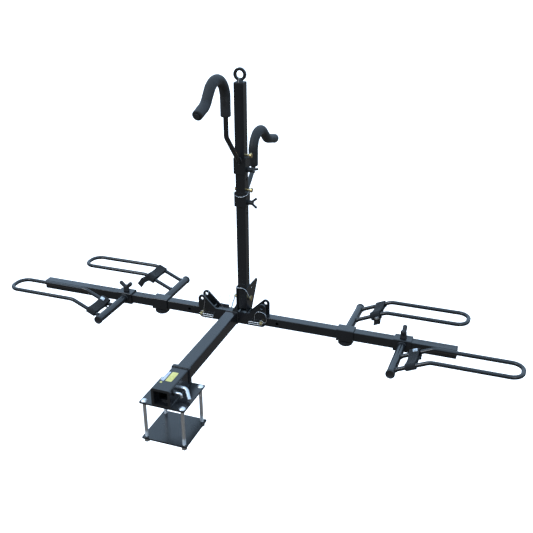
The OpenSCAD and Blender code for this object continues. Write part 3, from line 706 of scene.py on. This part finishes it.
def tray_details(name, facts):
    """A tray's tube cap, the weld where its tube meets the collar, and the loop's two welds."""
    side, row = facts["side"], facts["row"]
    body = f"{name}_tray"
    low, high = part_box(f"{name}_cross_tube")
    radius = (high.x - low.x) / 2
    axis_x, axis_z = (low.x + high.x) / 2, (low.z + high.z) / 2
    outer = low.y if row < 0 else high.y
    inner = high.y if row < 0 else low.y
    domed_cap(f"{name}_tube_cap", Vector((axis_x, outer, axis_z)), Y * row, radius, body)
    weld_bead(f"{name}_collar_weld",
              circle(Vector((axis_x, inner + row * TUBE_WELD_OFF, axis_z)), X, Z,
                     radius + TUBE_WELD_OFF), body, WELD_R["tray_collar"], closed=True)
    loop_low, loop_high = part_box(f"{name}_wheel_loop")
    slope = Vector((side * math.cos(LOOP_SLOPE), 0, math.sin(LOOP_SLOPE)))
    across = Vector((-side * math.sin(LOOP_SLOPE), 0, math.cos(LOOP_SLOPE)))
    for k, rod_y in enumerate((loop_low.y + LOOP_ROD_R, loop_high.y - LOOP_ROD_R)):
        seat = Vector((axis_x, rod_y, axis_z)) + slope * (radius + ROD_WELD_OFF)
        weld_bead(f"{name}_rod_weld_{k}", circle(seat, Y, across, LOOP_ROD_R + TUBE_WELD_OFF, 24), body,
                  WELD_R["loop_rod"], closed=True)


def hook_welds():
    """Fillet where each hook rod leaves its carriage."""
    for which, facts in HOOKS.items():
        low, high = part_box(f"{which}_hook_rod")
        sleeve_low, sleeve_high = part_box(f"{which}_carriage")
        face = sleeve_high.y if facts["side"] > 0 else sleeve_low.y
        tall = HOOK_ROD_R * facts["stretch"]
        centre = Vector(((low.x + high.x) / 2, face + facts["side"] * 0.0005, low.z + tall))
        turns = [2 * math.pi * k / 40 for k in range(40)]
        wide_r, tall_r = HOOK_ROD_R + ROD_WELD_OFF, tall + ROD_WELD_OFF
        ring = [centre + X * wide_r * math.cos(t) + Z * tall_r * math.sin(t) for t in turns]
        weld_bead(f"{which}_rod_weld", ring, f"{which}_hook", WELD_R["hook_rod"], closed=True)


def frame_welds():
    """Welds of the receiver on its plate, the stinger on the hub, and the bracket on the hub."""
    plate_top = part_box("clamp_top_plate")[1].z
    tube_low, tube_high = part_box("receiver_tube")
    half = (tube_high.z - tube_low.z) / 2
    ends = (tube_low.y + COLLAR_LENGTH, tube_high.y - COLLAR_LENGTH)
    for k, x in enumerate((-half, half)):
        seat = [Vector((x, y, plate_top + 0.0012)) for y in ends]
        weld_bead(f"receiver_weld_{k}", seat, "base", WELD_R["receiver"])
    hub_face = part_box("hub_front_plate")[0].y
    stinger_low, stinger_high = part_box("stinger")
    centre = Vector((0, hub_face - 0.0004, (stinger_low.z + stinger_high.z) / 2))
    size = stinger_high.x - stinger_low.x + 0.001
    weld_bead("stinger_weld", rounded_loop(centre, X, Z, size, size, 0.005), "base",
              WELD_R["stinger"], closed=True)
    collar_low, collar_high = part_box("receiver_collar")
    edge, top = half + TUBE_WELD_OFF, tube_high.z + TUBE_WELD_OFF
    for k, y in enumerate((collar_low.y + COLLAR_LENGTH, collar_high.y - COLLAR_LENGTH)):
        corners = [Vector((x, y, z)) for x, z in ((-edge, plate_top + 0.002), (-edge, top),
                                                  (edge, top), (edge, plate_top + 0.002))]
        path = bent_path(corners, [0.005, 0.005], 0.002)
        weld_bead(f"collar_weld_{k}", path, "base", WELD_R["collar"])
    bracket_low, bracket_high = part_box("mast_bracket")
    for k, x in enumerate((bracket_low.x, bracket_high.x)):
        front = [Vector((x, y, bracket_low.z + 0.001)) for y in (hub_face + 0.001, hub_face + 0.045)]
        weld_bead(f"bracket_weld_{k}", front, "base", WELD_R["bracket"])


def sticker(name, centre, width, length, film):
    """Thin printed label on top of the receiver, corners rounded, with no lettering."""
    outline = rounded_loop(centre, X, Y, width, length, min(width, length) * 0.18, 4)
    lift = Z * 0.0003
    count = len(outline)
    points = outline + [p + lift for p in outline]
    faces = [tuple(range(count, 2 * count)), tuple(reversed(range(count)))]
    faces += [(k, (k + 1) % count, count + (k + 1) % count, count + k) for k in range(count)]
    return mesh_piece(name, points, faces, "black_plastic", "base", film, smooth=False)


def stickers():
    """A plain yellow label, a narrow silver one beside it and a dot."""
    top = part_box("receiver_tube")[1].z + 0.0001
    for name, at, width, length, film in LABELS:
        sticker(name, Vector((*at, top)), width, length, film)


# ---------------------------------------------------------------- studio
def studio():
    """Pale floor that only the camera sees, a cool sky that lights the rack and darkens towards the
    ground, a white backdrop for the camera, and two soft lamps."""
    floor_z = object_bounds()[0].z - FLOOR_DROP
    bpy.ops.mesh.primitive_plane_add(size=60, location=(0, 0, floor_z))
    floor = bpy.context.object
    floor.name = "studio_floor"
    pale = bpy.data.materials.new("studio_floor")
    pale.use_nodes = True
    surface = pale.node_tree.nodes["Principled BSDF"]
    surface.inputs["Base Color"].default_value = (0.93, 0.93, 0.93, 1)
    surface.inputs["Roughness"].default_value = 0.9
    surface.inputs["Emission Color"].default_value = (1, 1, 1, 1)
    surface.inputs["Emission Strength"].default_value = 0.85
    floor.data.materials.append(pale)
    floor.visible_glossy = False
    floor.visible_diffuse = False
    floor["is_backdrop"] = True

    world = bpy.data.worlds.new("studio")
    world.use_nodes = True
    nodes, links = world.node_tree.nodes, world.node_tree.links
    sky = nodes["Background"]
    place = nodes.new("ShaderNodeTexCoord")
    toward = nodes.new("ShaderNodeVectorMath")
    toward.operation = "DOT_PRODUCT"
    toward.inputs[1].default_value = SKY_LEAN
    links.new(place.outputs["Generated"], toward.inputs[0])
    span = nodes.new("ShaderNodeMapRange")
    span.inputs["From Min"].default_value = -1.0
    span.inputs["From Max"].default_value = 1.0
    links.new(toward.outputs["Value"], span.inputs["Value"])
    ramp = nodes.new("ShaderNodeValToRGB")
    stops = ramp.color_ramp.elements
    while len(stops) < len(SKY):
        stops.new(0.5)
    for stop, (at, colour) in zip(stops, SKY):
        stop.position = at
        stop.color = (*colour, 1)
    links.new(span.outputs["Result"], ramp.inputs["Fac"])
    links.new(ramp.outputs["Color"], sky.inputs["Color"])
    sky.inputs["Strength"].default_value = SKY_STRENGTH
    backdrop = nodes.new("ShaderNodeBackground")
    backdrop.inputs["Color"].default_value = (1, 1, 1, 1)
    seen = nodes.new("ShaderNodeLightPath")
    either = nodes.new("ShaderNodeMixShader")
    links.new(seen.outputs["Is Camera Ray"], either.inputs["Fac"])
    links.new(sky.outputs["Background"], either.inputs[1])
    links.new(backdrop.outputs["Background"], either.inputs[2])
    links.new(either.outputs["Shader"], nodes["World Output"].inputs["Surface"])
    bpy.context.scene.world = world

    for name, at, size, power in LAMPS:
        lamp = bpy.data.lights.new(name, "AREA")
        lamp.size = size
        lamp.energy = power
        holder = bpy.data.objects.new(name, lamp)
        holder.location = at
        aim = Vector((0, 0.3, 0.3)) - Vector(at)
        holder.rotation_euler = aim.to_track_quat("-Z", "Y").to_euler()
        bpy.context.scene.collection.objects.link(holder)
    bpy.context.scene.view_settings.view_transform = "Standard"


def camera():
    """The camera, turned by its azimuth, elevation and roll."""
    a, e, roll = (math.radians(v) for v in (CAMERA_AZIMUTH, CAMERA_ELEVATION, CAMERA_ROLL))
    back = Vector((math.sin(a) * math.cos(e), -math.cos(a) * math.cos(e), math.sin(e)))
    right = Vector((math.cos(a), math.sin(a), 0))
    up = back.cross(right)
    turned = right * math.cos(roll) + up * math.sin(roll)
    lens = bpy.data.cameras.new("camera")
    lens.lens = CAMERA_LENS
    lens.sensor_width = 36
    holder = bpy.data.objects.new("camera", lens)
    holder.matrix_world = Matrix((turned, back.cross(turned), back)).transposed().to_4x4()
    holder.location = CAMERA_AT
    bpy.context.scene.collection.objects.link(holder)
    bpy.context.scene.camera = holder


camera()
finish_cad_nodes()
for hook in HOOKS:
    foam_sleeve(hook)
for tray, facts in TRAYS.items():
    strap(tray, facts)
    tray_details(tray, facts)
hook_welds()
frame_welds()
stickers()
studio()
